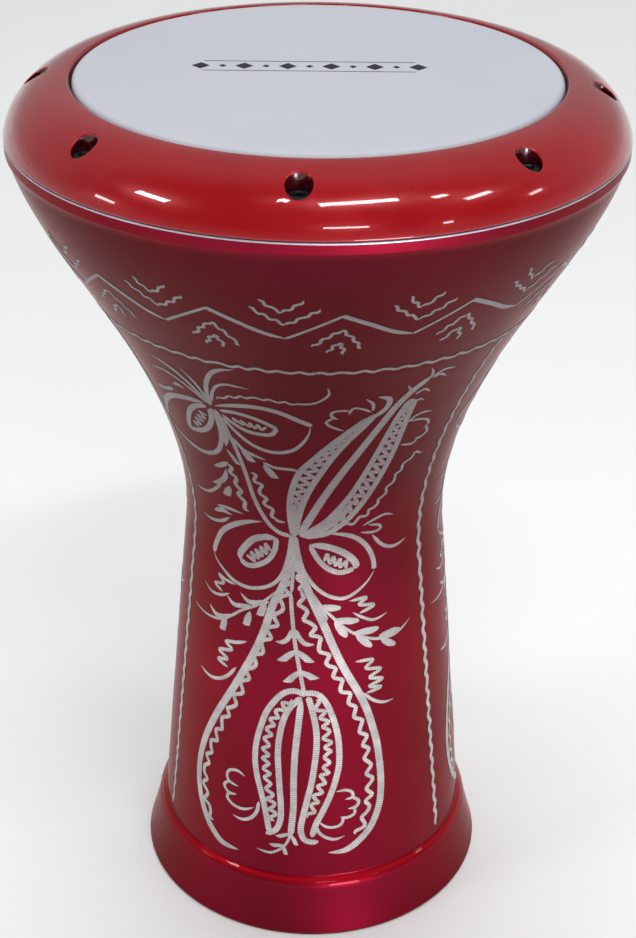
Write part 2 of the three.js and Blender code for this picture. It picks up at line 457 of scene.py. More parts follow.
def gloss_red(name, dark, light):
    """Glossy red lacquer on the tuning ring."""
    look = Look(name, Metallic=0.1, Coat_Weight=1.0, Coat_Roughness=0.02, Specular_IOR_Level=0.2)
    look.into("Base Color", look.clouds(look.noise(18, 3), dark, light))
    look.roughness(look.noise(80, 4), 0.2, 0.3)
    look.into("Normal", look.bump(look.noise(300, 2), 0.02, 0.3))
    return look.material


def film_plastic():
    look = Look("film")
    look.into("Base Color", look.clouds(look.noise(9, 4), (0.515, 0.53, 0.58), (0.545, 0.56, 0.61)))
    look.roughness(look.noise(140, 4), 0.38, 0.5)
    grain = look.bump(look.noise(2600, 2), 0.015, 0.5)
    look.into("Normal", look.bump(look.noise(25, 2), 0.2, 0.12, grain))
    return look.material


def bare_aluminium(name, tint, grain, depth):
    look = Look(name, Metallic=0.9)
    darker = tuple(0.75 * c for c in tint)
    look.into("Base Color", look.clouds(look.noise(40, 4), darker, tint, 0.35, 0.65))
    look.roughness(look.noise(grain, 4), 0.35, 0.6)
    look.into("Normal", look.bump(look.noise(grain, 5), depth, 0.6))
    return look.material


def engraved_metal():
    """Bright metal where the graver went through the lacquer, with the cuts across each stroke.
    Its colour is darkened above the waist, and in the trough of each small cut, as painted shade."""
    look = Look("engraved_metal", Metallic=0.75)
    wander = look.math("MULTIPLY", look.noise(500, 2), 1.2)
    travel = look.math("MULTIPLY", look.attribute("travel"), 2 * math.pi / CUT_PITCH)
    cuts = look.math("SINE", look.math("ADD", travel, wander), 0.0)
    ground = look.clouds(look.noise(160, 4), (0.49, 0.46, 0.46), (0.72, 0.69, 0.68))
    # painted shade: the strokes' colour is darkened above the waist, where the upper bowl gets less
    # light
    painted_upper_shade = look.remap(look.height(0.16, 0.25), 0, 1, 0, 0.86)
    ground = look.mix(painted_upper_shade, ground, (0.18, 0.16, 0.16))
    # painted shade: the colour is darkened in the trough of each small cut across a stroke
    painted_cut_shade = look.remap(cuts, -1, 0.4, 0.5, 0)
    look.into("Base Color", look.mix(painted_cut_shade, ground, (0.13, 0.07, 0.075)))
    look.roughness(look.noise(700, 2), 0.36, 0.55)
    look.into("Normal", look.bump(cuts, 0.05, 0.5))
    return look.material


def steel(name, dark, light, rough, metallic=0.9):
    look = Look(name, Metallic=metallic)
    look.into("Base Color", look.clouds(look.noise(300, 3), dark, light))
    look.roughness(look.noise(500, 3), rough, rough + 0.18)
    look.into("Normal", look.bump(look.noise(1800, 2), 0.01, 0.4))
    return look.material


CANDY = candy_red()
GLOSS = gloss_red("gloss_red", (0.29, 0.003, 0.006), (0.35, 0.005, 0.009))
HOLE_WALL_SHADE = gloss_red("hole_red_shade", (0.045, 0.001, 0.003), (0.075, 0.002, 0.006))  # painted shade: a darker copy of the ring's red lacquer on the counterbores' walls
FILM_PLASTIC = film_plastic()
CAST = bare_aluminium("cast_aluminium", (0.36, 0.36, 0.37), 900, 0.12)
MACHINED = bare_aluminium("machined_aluminium", (0.66, 0.60, 0.70), 1500, 0.02)
ENGRAVED = engraved_metal()
BLACK_STEEL = steel("black_steel", (0.012, 0.012, 0.014), (0.03, 0.03, 0.034), 0.3, 0.6)
ZINC_STEEL = steel("zinc_steel", (0.36, 0.37, 0.39), (0.55, 0.56, 0.58), 0.28)
INK = steel("ink", (0.010, 0.011, 0.016), (0.02, 0.022, 0.03), 0.45, 0.0)


# ---- Body ----
def add_shell():
    build = Build()
    inside = inset(GOBLET, WALL)[::2]
    inside = inside[inside[:, 1] < SHOULDER_Z - 3]
    lip = rounded([
        (*BOWL_TOP, 0),
        (FLANGE_R, FLANGE_Z - 5, 1.2),
        (FLANGE_R, FLANGE_Z - BARE_EDGE, 0),
        (FLANGE_R, FLANGE_Z, 0.4),
        (FLANGE_R - 2, FLANGE_Z, 0),
    ])
    split = int(np.argmax(lip[:, 1] > FLANGE_Z - BARE_EDGE - 0.01))
    build.turn(GOBLET)
    build.turn(lip[: split + 1])
    build.turn(lip[split:], mark=1)
    flange = np.linspace(BEARING_OUT, FLANGE_R - 2, 40)
    shoulder = np.linspace(BEARING_IN, inside[-1, 0] - 0.8, 40)
    above = holed_ring(build, flange, lambda r: FLANGE_Z, INSERT_HOLE, 8, mark=1)
    below = holed_ring(build, shoulder, lambda r: SHOULDER_Z, INSERT_HOLE, 7.5, mark=2)
    for (centre, _, top), (_, _, bottom) in zip(above, below):
        join_rims(build, centre, top, bottom, mark=1)
    bearing = rounded([
        (BEARING_OUT, FLANGE_Z, 0),
        (BEARING_OUT, BEARING_Z, 1.9),
        (BEARING_IN, BEARING_Z, 1.9),
        (BEARING_IN, SHOULDER_Z, 0),
    ], 6)
    build.turn(bearing, mark=1)
    inner = np.vstack([[shoulder[-1], SHOULDER_Z], inside[::-1]])
    build.turn(inner, mark=2)
    build.turn([inside[0], GOBLET[0]], mark=2)
    mesh = build.mesh("goblet_shell", [CANDY, MACHINED, CAST])
    place("goblet_shell", mesh, "drum_body", "candy_red", "shell")


def neck_radius(z):
    return NECK_END[0] + NECK_SLOPE * (z - NECK_END[1])


def add_foot():
    t = np.linspace(0, 1, 14)
    flare = np.column_stack([
        FOOT_CREASE[0] + (FOOT_R - FOOT_CREASE[0]) * t**1.25,
        FOOT_CREASE[1] - (FOOT_CREASE[1] - FOOT_EDGE) * t,
    ])
    top = (neck_radius(FOOT_TOP) + 0.03, FOOT_TOP - 0.02)
    foot_slope = (FOOT_CREASE[0] - FOOT_R) / (FOOT_CREASE[1] - FOOT_EDGE)
    ledge = bezier(top, along(top, -0.14, -1.8), along(flare[2], foot_slope, 4.6), flare[2], 16)
    shelf_z = NECK_END[1]
    shelf_in, shelf_out = neck_radius(shelf_z) - WALL + 1, neck_radius(shelf_z) + 0.3
    corners = [(r, z, 0) for r, z in np.vstack([ledge, flare[3:]])]
    corners += [
        (FOOT_R - FOOT_EDGE * 0.3, FOOT_EDGE * 0.3, 0),
        (FOOT_R - FOOT_EDGE, 0, 0),
        (FOOT_INSIDE + 1, 0, 0.6),
        (FOOT_INSIDE, 1, 0.6),
        (FOOT_INSIDE, shelf_z - 3, 1.5),
        (shelf_in, shelf_z - 1, 0.3),
        (shelf_in, shelf_z - 0.3, 0),
        (shelf_out, shelf_z - 0.3, 0),
        (top[0], FOOT_TOP - 2, 0),
    ]
    outline = rounded(corners, 6)
    # painted sheen: a band along the ledge, strongest at its middle, where candy_red paints a
    # brighter, glossier red
    pooled = np.zeros(len(outline))
    pooled[: len(ledge)] = 0.8 * np.sin(np.linspace(0, np.pi, len(ledge))) ** 2
    mesh = turned_mesh("foot_ring", outline, CANDY, pooled=pooled[:, None])
    place("foot_ring", mesh, "drum_body", "candy_red", "foot_skirt")


# ---- Head ----
def add_head():
    bend = 3
    top = HEAD_Z - 0.03
    outline = rounded([
        *((r, top, 0) for r in range(0, 101, 10)),
        (HEAD_R, top, bend),
        (HEAD_R, COLLAR_END, 0.1),
        (HEAD_R - FILM, COLLAR_END, 0.1),
        (HEAD_R - FILM, top - FILM, bend - FILM),
        *((r, top - FILM, 0) for r in range(100, -1, -10)),
    ], 8)
    build = Build()
    build.turn(outline)
    place("drumhead", build.mesh("drumhead", [FILM_PLASTIC]), "drum_body", "film", "drumhead_film")


def add_hoop():
    low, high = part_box("head_hoop")
    inner, outer = HEAD_R + 0.3, high.x / MM
    bottom, top = low.z / MM, high.z / MM
    corners = [(inner, bottom, 0.3), (outer, bottom, 0.8), (outer, top, 0.8), (inner, top, 0.3)]
    mesh = turned_mesh("hoop", rounded(corners), MACHINED)
    place("hoop", mesh, "drum_body", "bare_aluminium", "head_hoop")


# ---- Tuning ring ----
def crown_height(r):
    return CROWN[1] + CROWN_TALL * np.sqrt(1 - ((r - CROWN[0]) / CROWN_WIDE) ** 2)


def add_tuning_ring():
    build = Build()
    last = math.asin((RING_BASE + 0.6 - CROWN[1]) / CROWN_TALL)
    first = math.acos((RING_LIP + 1.2 - CROWN[0]) / CROWN_WIDE)
    radii = CROWN[0] + CROWN_WIDE * np.cos(np.linspace(first, last, 56))
    holes = holed_ring(build, radii, crown_height, COUNTERBORE_R, 8.4, fillet=0.7)
    base_r = np.linspace(RING_INNER + 0.5, radii[-1] - 0.5, 40)
    below = holed_ring(build, base_r, lambda r: RING_BASE, CLEARANCE_R, 6, mark=1)
    for (centre, out, rim), (_, _, exit_rim) in zip(holes, below):
        floor = np.column_stack([rim[:, :2], np.full(len(rim), COUNTERBORE_Z)])
        mouth = np.column_stack([centre + out * CLEARANCE_R, floor[:, 2]])
        wall = [rim * (1 - f) + floor * f for f in np.linspace(0, 1, 6)]
        build.grid(wall, around=True, mark=2)
        build.grid([floor, mouth], around=True, mark=1)
        join_rims(build, centre, mouth, exit_rim, mark=1)
    lip_z = crown_height(radii[0])
    lip = rounded([
        (radii[0], lip_z, 0),
        (RING_LIP, lip_z - 0.1, 1.0),
        (RING_LIP, RING_SEAT, 0),
        (RING_INNER, RING_SEAT, 0.3),
        (RING_INNER, RING_BASE, 0.4),
        (base_r[0], RING_BASE, 0),
    ], 5)
    build.turn(lip)
    edge = rounded([
        (base_r[-1], RING_BASE, 0),
        (radii[-1] + 0.05, RING_BASE, 0.4),
        (radii[-1], RING_BASE + 0.6, 0),
    ])
    build.turn(edge)
    mesh = build.mesh("ring", [GLOSS, MACHINED, HOLE_WALL_SHADE])
    place("ring", mesh, "ring_assembly", "gloss_red", "tuning_ring")


# ---- Fasteners ----
def screw_mesh():
    """An M6 socket cap screw on the vertical axis, with a fluted head and a rolled thread."""
    low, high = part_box("tuning_screw_1")
    tip, top = low.z / MM, high.z / MM
    under, socket_floor = top - 6, top - 3.4
    shank, head, pitch, depth = 3.0, 5.0, 1.0, 0.5
    around = 72
    a = np.arange(around) * 2 * np.pi / around
    hexagon = 2.5 / np.cos((a + np.pi / 6) % (np.pi / 3) - np.pi / 6)
    flutes = head - 0.14 * (np.arange(around) % 2)
    build = Build()

    def rows(*levels):
        """Rows of (radius, height) levels, where a radius may differ round the axis."""
        return [polar(r + 0 * a, a, z) for r, z in levels]

    build.grid(rows(
        (0, socket_floor - 0.5), (0.6, socket_floor - 0.4), (hexagon * 0.98, socket_floor),
        (hexagon, socket_floor + 0.1), (hexagon, top - 0.35), (hexagon + 0.3, top),
        (4.1, top), (4.5, top - 0.1), (4.8, top - 0.4), (flutes, top - 0.9),
        (flutes, under + 0.7), (4.9, under + 0.3), (4.8, under), (shank, under),
    ), around=True)
    z = np.arange(under, tip - 1e-6, -pitch / 6)[:, None]
    phase = (z / pitch - a / (2 * np.pi)) % 1
    crest = np.clip(1.6 * np.abs(2 * phase - 1) - 0.2, 0, 1)
    run_out = np.clip((under - z) / 1.5 - 0.3, 0, 1)
    taper = np.where(z - tip < 1.2, 0.88 + 0.12 * np.clip((z - tip) / 1.2, 0, 1), 1)
    radius = (shank - depth * (1 - crest) * run_out) * taper
    thread = rows(*zip(radius, z))
    build.grid(thread, around=True)
    build.grid([thread[-1], thread[-1] * [0, 0, 1]], around=True)
    return build.mesh("cap_screw", [BLACK_STEEL])


def disc_mesh(name, node, inner, outer, rings=0):
    """A zinc-plated washer or bush on the vertical axis, as tall as its CAD node, with rings turned
    into its outside."""
    low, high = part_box(node)
    bottom, top = low.z / MM, high.z / MM
    corners = [(inner, bottom, 0.15), (outer, bottom, 0.2)]
    for k in range(rings):
        z = bottom + (top - bottom) * (k + 0.7) / (rings + 0.4)
        corners += [(outer, z - 0.3, 0), (outer - 0.35, z - 0.1, 0)]
        corners += [(outer - 0.35, z + 0.1, 0), (outer, z + 0.3, 0)]
    corners += [(outer, top, 0.2), (inner, top, 0.15)]
    return turned_mesh(name, rounded(corners, 3), ZINC_STEEL, 48)


def add_fasteners():
    cap_screw = screw_mesh()
    washer = disc_mesh("washer", "screw_washer_1", 3.2, 5.3)
    bush = disc_mesh("bush", "threaded_insert_1", 3.3, 4.7, rings=3)
    for i in range(SCREWS):
        k = i + 1
        for name, mesh, body, slot, node in (
            (f"cap_screw_{k}", cap_screw, f"screw_{k}", "black_steel", f"tuning_screw_{k}"),
            (f"washer_{k}", washer, "ring_assembly", "zinc_steel", f"screw_washer_{k}"),
            (f"insert_{k}", bush, "drum_body", "zinc_steel", f"threaded_insert_{k}"),
        ):
            mesh = mesh.copy()
            mesh.transform(Matrix.Translation(screw_place(i) * MM))
            place(name, mesh, body, slot, node)


# ---- Engraving ----
# Every stroke is a shallow V cut that follows the shell. A point on the shell is (degrees, height):
# degrees from the front towards +X, and height above the foot's bottom. A stroke's points are
# written as a text, "degrees,height degrees,height".
STEP, WAVY_STEP = 0.5, 0.4  # along a stroke
LIP, FLOOR, ROOT = 0.14, 0.05, -0.15  # how far a cut's edges, middle and underside are off the shell


def points(text):
    """(degrees, height) points from a text such as "-22,235.5 -28,233.5"."""
    return np.array([pair.split(",") for pair in text.split()], float)


def on_shell(line):
    """Places and outward directions of (degrees, height) points."""
    a, z = np.radians(line[:, 0]), line[:, 1]
    slope = goblet_radius(z + 0.5) - goblet_radius(z - 0.5)
    return polar(goblet_radius(z), a, z), unit(polar(1, a, -slope))


def run_along(spots):
    """How far each spot of a line is from its start."""
    return np.append(0, np.cumsum(np.linalg.norm(np.diff(spots, axis=0), axis=1)))


def smooth_line(line, spacing=STEP):
    """A Catmull-Rom curve through (degrees, height) points, in equal steps on the shell."""
    p = points(line) if isinstance(line, str) else np.array(line, float)
    p = np.vstack([2 * p[0] - p[1], p, 2 * p[-1] - p[-2]])
    t = np.linspace(0, 1, 16, endpoint=False)[:, None]
    parts = []
    for a, b, c, d in zip(p, p[1:], p[2:], p[3:]):
        bend = (2 * a - 5 * b + 4 * c - d) * t**2 + (3 * b - a - 3 * c + d) * t**3
        parts.append(0.5 * (2 * b + (c - a) * t + bend))
    line = np.vstack([*parts, p[-2:-1]])
    run = run_along(on_shell(line)[0])
    stops = np.linspace(0, run[-1], max(4, round(run[-1] / spacing) + 1))
    return np.stack([np.interp(stops, run, line[:, k]) for k in (0, 1)], 1)


class Graver:
    """Cuts strokes into one piece. turn is the angle of the panel that it works in."""

    def __init__(self, turn=0.0):
        self.build = Build()
        self.turn = turn
        self.hand = np.random.default_rng(round(turn) + 3)

    def stroke(self, spots, out, width, start, end, chisel=False):
        """A V cut along spots. start and end are the lengths over which it narrows at its ends.
        A chisel's cut ends level, whichever way it runs."""
        run = run_along(spots)
        start, end = (max(0.05 if chisel else 0.25 * width, x) for x in (start, end))
        lead = np.clip(run / start, 0, 1)
        trail = np.clip((run[-1] - run) / end, 0, 1)
        narrow = np.sin(lead * math.pi / 2) ** 0.7 * np.sin(trail * math.pi / 2) ** 0.7
        ragged = 1 - 0.11 * (run / CUT_PITCH % 1 < 0.4)
        half = (0.5 * width * np.maximum(narrow, 0.12) * ragged)[:, None]
        forward = np.gradient(spots, axis=0)
        side = unit(np.cross(out, forward))
        edge = side * half
        if chisel:
            forward = unit(forward)
            level = np.clip(side[-1, 2] / (forward[-1, 2] or 1e-6), -0.9, 0.9)
            edge = edge - forward * half * level
        rim = spots + out * LIP * np.clip(half / 0.4, 0.5, 1)
        rows = np.stack([rim - edge, spots + out * FLOOR, rim + edge, spots + out * ROOT], 1)
        self.build.grid(rows, around=True, travel=run[:, None])
        for cap, travel in ((rows[0], run[0]), (rows[-1], run[-1])):
            self.build.grid([[cap[0], cap[1]], [cap[3], cap[2]]], travel=travel)

    def cut(self, line, width, start=0.0, end=0.0, chisel=False):
        line = smooth_line(line) + [self.turn, 0]
        self.stroke(*on_shell(line), width, start, end, chisel)

    def cuts(self, width, start, end, *lines):
        for line in lines:
            self.cut(line, width, start, end)

    def leaves(self, width, point, *lines):
        """Fat chisel cuts, each from a sharp root to a tip. point is the share of a leaf's length
        over which it narrows at its tip."""
        for line in lines:
            root, tip = points(line)
            length = math.dist(root, tip)
            line = [root, (root + tip) / 2, tip]
            self.cut(line, width, 0.55 * length, point * length, chisel=True)

    def wriggle(self, line, width, swing, pitch, start=0.0, end=0.0):
        """A wavy cut that swings to both sides of a line."""
        spots, out = on_shell(smooth_line(line, WAVY_STEP) + [self.turn, 0])
        run = run_along(spots)
        side = unit(np.cross(out, np.gradient(spots, axis=0)))
        share = run / run[-1]
        waves = max(1, round(run[-1] / pitch))
        knots = np.linspace(0, 1, 2 * waves + 2)
        drift = np.interp(share, knots, self.hand.normal(0, 0.07, len(knots)))
        reach = np.interp(share, knots, self.hand.uniform(0.7, 1.25, len(knots)))
        wave = swing * reach * np.sin(2 * math.pi * (share * waves + drift))
        self.stroke(spots + side * wave[:, None], out, width, start, end)

    def zigzag(self, left, right, width, pitch, margin):
        """A zigzag cut between two lines, which keeps a share of the space as its margin."""
        a, b = smooth_line(left), smooth_line(right)
        turns = max(3, round(run_along(on_shell(a)[0])[-1] / pitch * 2))
        corners = []
        for k in range(turns + 1):
            on_a, on_b = (line[round(k / turns * (len(line) - 1))] for line in (a, b))
            share = margin if k % 2 else 1 - margin
            corners.append(on_a * (1 - share) + on_b * share)
        self.cut(corners, width, 1, 1)


def engrave_bow(g):
    """The knot in the middle of a panel, with a loop and an almond on each side."""
    g.cut("-22,235.5 -28,233.5 -34,230 -40,225 -44,220 -47,213 -48.5,207", 3, 16, 2)
    g.cut("-49,208 -46.5,204 -42,200.5 -36,197 -29,196 -22,198 -17,201.5 -14,206 -12,212 -10.5,220 "
          "-9.5,229", 2, 22, 1)
    g.cut("5.5,231.8 12,230.5 17,228 21,224 24,219 26,213 26.5,207.5", 2.6, 14, 0)
    g.cut("-7.5,229 -6.5,220 -4.5,211 -1,204 3,199 8,195.6 13,194.6 18,197 23,201.5 26.5,206.5",
          2, 1, 24)
    g.cuts(3.2, 3, 5, "-9.1,230 -9.2,224 -10,216", "-8,230 -7.8,224 -7,216")
    g.wriggle("-8.9,221 -10.2,210 -12.2,199", 2, 1.1, 5.6, 2, 2)
    g.wriggle("-8.1,221 -6.8,210 -4.6,199", 2, 1.1, 5.6, 2, 2)
    g.cut("-8.5,226 -8.7,212 -9.2,198", 1.8, 3, 2)
    g.cut("-15.8,227 -21,226.6 -26,224 -30,219 -33,213.5 -33.3,210", 3.7, 5, 3)
    g.cut("-15.8,227.4 -16.8,220 -20,213.5 -25.5,209.2 -30,208.2 -33.3,210.5", 2.8, 2, 2)
    g.zigzag("-19.5,224 -30,213.5", "-18.5,219 -27,210.5", 1.7, 3.6, 0)
    g.cut("-1.8,225 4,224.2 9.5,221.8 14.8,217.6 18,212.6 17.2,210", 3.7, 6, 2)
    g.cut("-1.8,225 0.6,219 3.8,213.6 8,210 12,208.8 17.4,210", 2.8, 4, 2)
    g.zigzag("4,220.5 15.5,214", "4.5,215.5 13.5,210.5", 1.7, 3.6, 0)


def engrave_teardrop(g):
    """The large drop under the knot: a broad outline with a wavy line inside."""
    g.cut("-9.3,222 -10.6,212 -13,201 -17,190 -21,173 -25,160 -28.7,150 -32.5,140 -36.5,130 "
          "-40.5,120 -44,110 -47,100 -49,90 -50,80 -49.6,70 -47.6,60 -44,50.5 -40,44.5 -35.5,40.6 "
          "-28.5,40", 4.1, 8, 16)
    g.cut("-7.7,222 -6,212 -2.8,201 1,190 4.6,180 7.7,170 11,160 14.8,150 18.8,140 22,130 24.2,120 "
          "26,110 27,100 27.6,90 27.6,80 26.6,70 23.7,60 20.3,54 16,49 12,46.5 6.5,46.2",
          4.1, 8, 16)
    g.wriggle("-11.5,200 -14.4,186 -18.5,173 -22.2,162 -25.6,152 -29.1,141 -32.6,130 -36.4,119 "
              "-40,108 -43,97 -45.3,87 -46.1,77 -45.8,68 -43.8,58 -40.8,51", 2.2, 1.55, 9.2, 3, 3)
    g.wriggle("-6.5,199 -2.9,185 1.3,174 4.8,164 8.5,154 12.5,144 15.9,134 18.6,124 20.6,114 "
              "21.9,103 22.7,92 22.7,81 21.7,71 19.9,62 17.4,55", 2.2, 1.55, 9, 3, 3)


def engrave_stem(g):
    """The stem inside the drop, with three pairs of leaves."""
    g.cut("-9.6,199 -8.9,187 -7.8,174 -6.2,161 -4.4,149 -3.4,142", 2.1, 6, 0)
    g.cut("-8.3,178 -10.2,172.5 -12.5,170 -15.5,169.7", 2.6, 3, 5)
    g.cut("-7.6,178 -5.5,173 -3,170 0.5,169.8", 2.6, 3, 5)
    g.leaves(3.6, 0, "-7,166.5 -13.2,159", "-6.6,166.5 -0.8,159.5", "-5.4,155 -10.6,147.3",
             "-4.9,155 1.2,150")


def engrave_inner_tulip(g):
    """The tulip that hangs inside the drop: two zigzag bands and a broad middle rib."""
    outer = ("-2.6,141 -7.5,143 -12.6,140 -18,130 -20.6,120 -22.3,110 -22.7,100 -21.7,90 -19.7,80 "
             "-17.9,70 -16.6,61 -15.8,56")
    inner = ("-4.5,139.5 -9,133 -11.6,125 -13,115 -13.4,105 -13,95 -12.4,85 -11.8,75 -11.8,66 "
             "-13.5,59 -17.5,55.2")
    g.cuts(3.3, 1, 3, outer, inner)
    g.wriggle("-8.5,138 -13,131 -16.3,122 -17.8,112 -18.3,102 -17.7,92 -16.6,82 -15.3,73 -14.6,64",
              2.1, 1.6, 6.2, 2, 2)
    g.cut("-4.4,139 -5.4,125 -6.6,107 -7,90 -6.9,75 -7.5,62 -7.8,56", 3.5, 8, 4)
    inner = ("-1.7,140 0.3,130 1.6,120 1.7,110 1,100 0,90 -1.5,80 -3,70 -4,61 -2.8,55 -0.3,53.2 "
             "2.8,53.4")
    outer = ("-3.4,142 1.6,141.8 5.2,137 7.8,129 9.8,119 10.6,109 10.5,99 9,89.5 7,81 4.3,72 "
             "1.7,64 0.2,56")
    g.cuts(3.3, 1, 3, inner, outer)
    g.wriggle("1,138 4,130 5.5,121 6.1,111 5.8,101 4.5,92 2.6,83 0.7,75 -0.8,68",
              2.1, 1.6, 6.2, 2, 2)
    g.cut("-7.6,60 -8.5,54 -10.3,49.3 -13,45.8 -16,44 -21,44.8", 1.5, 1, 8)
    g.leaves(2.3, 0, "-7.6,58 -13,54.6", "-7.4,57 -5.5,50.5", "-9.8,50 -15.5,48.8",
             "-10.5,50 -9.4,44")


def engrave_scallops(g):
    """Scalloped commas in the foot of the drop."""
    g.cut("-26.8,86.8 -30,88.6 -33.5,87.3 -34.9,84 -33.8,80.4 -29.5,79.2", 1.7, 5, 5)
    g.cut("-33.6,80.6 -36,77 -33.8,73.4 -30.2,74", 1.7, 2, 4)
    g.cut("-33.5,74 -34.3,70 -31.5,67 -27,66.6 -22.6,69.4", 1.8, 2, 8)
    g.cut("-20.6,74 -21.3,67.5 -23.8,62.5 -27.5,60 -31.5,60.6", 2, 3, 9)
    g.cut("9.3,83.4 13,83.8 15.6,82 15.8,79 12.9,78", 1.7, 6, 4)
    g.cut("15.5,79.3 18.2,76 17.2,72.8 14,72", 1.9, 2, 4)
    g.cut("16.6,72.4 16.5,68.6 13.8,66.9 11,67.5", 1.7, 2, 3)
    g.cut("12.3,67.5 11.3,63.2 8.4,61.8 5.4,62.6 2.6,65.8", 1.7, 2, 7)
    g.cut("1.6,63.5 3,58.8 5.8,55.6 9,54.3 12.6,55.6", 1.9, 3, 8)


def engrave_side_sprigs(g):
    """Leafy sprigs and quick squiggles on both sides of the drop."""
    g.cut("-16,197.5 -20,192 -25,187 -31,182.5 -36.5,177 -41,173 -47,170.8 -53,170.3 -60,171.5",
          1.5, 8, 20)
    g.cut("-18.8,191 -22.5,189.5 -28,188.3 -32.2,191.5", 2.9, 4, 10)
    g.cuts(2.6, 4, 9, "-26,186 -31,184.8 -35.5,184 -39.5,187.4",
           "-36,177.5 -40,174.8 -45,173.6 -49.3,176.8")
    g.leaves(4, 0, "-20.5,190.5 -22.8,182", "-27.4,183 -29,174.5", "-39.5,175 -41,166.5")
    g.cut("-35,195 -40.5,195.4 -44.5,196.5 -41.5,193 -46.5,190.6 -42,188", 1.7, 5, 3)
    g.cut("-38,188.8 -43,185.6 -48.5,184.8 -53.5,187.6", 1.6, 5, 10)
    g.cut("-28.4,165.6 -33,163.3 -38.6,161.2 -35.5,158 -42,154.8 -37.5,151.8 -42.3,149.2 -37,147",
          2, 5, 4)
    g.cut("-33,148.8 -36.8,142.3 -41.5,138 -47,136.4 -53,138.4", 2, 4, 12)
    g.cut("0.3,197.5 3,191.5 8.5,184 13,178.2 18.5,173.2 25,169.3 31,167.8 37.5,168.2 44.5,172.6",
          1.6, 7, 14)
    g.leaves(4, 0.3, "3,191.5 11,188.6", "8.5,183.6 19,180.4", "17,175 28,173.6",
             "28,169 38.5,170.2", "2.2,191 5,182.5", "9,183 13.6,172.5", "18,174 24.3,164.5",
             "29.5,168 35.4,161.2")
    g.cut("15.2,192.6 22.5,193 19.5,189.8 26,188 19.5,185", 1.9, 5, 4)
    g.cut("16.6,186 21,182.3 26,179.7 32.4,181.4", 1.6, 5, 10)
    g.cut("17.4,158.2 25,157.4 22,153.4 28.6,151 23.6,147.6 29.3,145 23.4,142.6 28.6,140.4 22,139",
          1.9, 5, 4)
    g.cut("20.6,139.6 24.8,134.2 29.6,131 34.4,130.8", 1.8, 4, 9)
    g.cut("20.4,234 25,236.4 30,238 34.5,236.2", 1.5, 5, 7)
    g.cut("23,233.8 27.6,232.6 28.6,230 25,229 19.5,230.2", 1.5, 4, 6)
    g.cut("25,227.4 29,221.4 33,218 37.5,217 43,218.6", 1.9, 5, 10)
    g.cut("-44.5,236 -38,237.4 -30.5,237.2", 2, 4, 9)
    g.cut("-47,231.8 -42,234.4 -36.5,234", 2.6, 4, 7)
    g.cut("-37.8,231.8 -43,227.6 -49,225.4 -55.5,225.4", 1.8, 5, 12)


def engrave_upper_tulip(g):
    """The large tulip that leans to the right above the knot."""
    left = "-8.5,230 -9.6,240 -9.5,250 -8,260 -5.2,270 -0.2,279 5,288 10.5,297 15.5,305"
    right = "-7.6,230 -6.5,240 -4.4,250 -1.4,260 2.3,270 6,280 10.3,290 14.5,299 17.6,307"
    g.cuts(3.2, 2, 4, left, right)
    g.zigzag(left, right, 2.1, 5, 0.25)
    left = "-4.6,230.5 4,238 9.5,246 13.7,254 16.7,262 19.3,271 21.5,281 23.2,291 24.6,301 26.8,313"
    right = ("-4,229.6 5,231.6 10.6,236 15.3,241.8 19.8,250 23.4,259.5 26,269.5 27.6,280 28.2,291 "
             "28.4,301 28.6,312")
    g.cuts(3.2, 2, 4, left, right)
    g.zigzag(points(left)[1:], points(right)[1:], 2.1, 5, 0.25)
    g.cut("-6,230 -0.5,232.5 5,236 10.5,242 14,249", 4.4, 3, 8)
    g.cut("-8,229.5 -8.3,236 -8.2,243 -7.4,250", 4, 3, 8)
    g.cut("-6,230.5 -2,240 2,250 6,260 10,270 13.9,280 17.3,290 20.3,300 23,310 26,318 28,322 "
          "30.6,327", 4, 8, 8)
    g.cut("16.3,304 19.4,308.5 20.4,313 19.6,316.5 16.6,318.3", 3, 5, 7)
    g.cut("16.2,309 15.6,314 13.4,317.8", 1.6, 3, 6)
    g.cuts(1.7, 2, 6, "26,317 25.4,320 24.2,323", "30.4,325 30,329 29,331.8",
           "30.6,325.5 33.5,328.6 37.4,327.6", "31,324.6 33,326 35.6,323.2",
           "27.6,315.5 30,317.8 32.6,315", "28.2,309.5 30,311.2 32,309.8")
    g.cut("15.8,308.4 13,311.2 10.4,312 9.3,308", 1.5, 3, 3)
    g.cut("9.6,310.6 7,311 4.8,310.2 4.6,307.6 6.6,305", 1.5, 2, 4)
    g.cut("5.2,306.5 3.2,303.4 4.8,300.4 8.6,297.2", 1.5, 2, 5)
    g.cut("29.3,296.3 31.2,299.6 34,300.8 37.6,299.6", 1.5, 3, 6)
    g.cut("29.6,297 33,296.6 36.6,294.8 38.4,291.5 37,288.6", 1.5, 4, 3)
    g.cut("38,289.4 39.4,285.8 37.4,283.2 34.8,283.6", 1.7, 2, 3)
    g.cut("36.4,283 34.4,280.4 29.6,281.8", 1.5, 2, 4)
    g.wriggle("11.5,235 17,237.5 21.5,241 25.5,246.5 28.8,253.5 31.6,261 34.6,268 38,272.2 42,272",
              1.6, 0.9, 7.4, 4, 7)


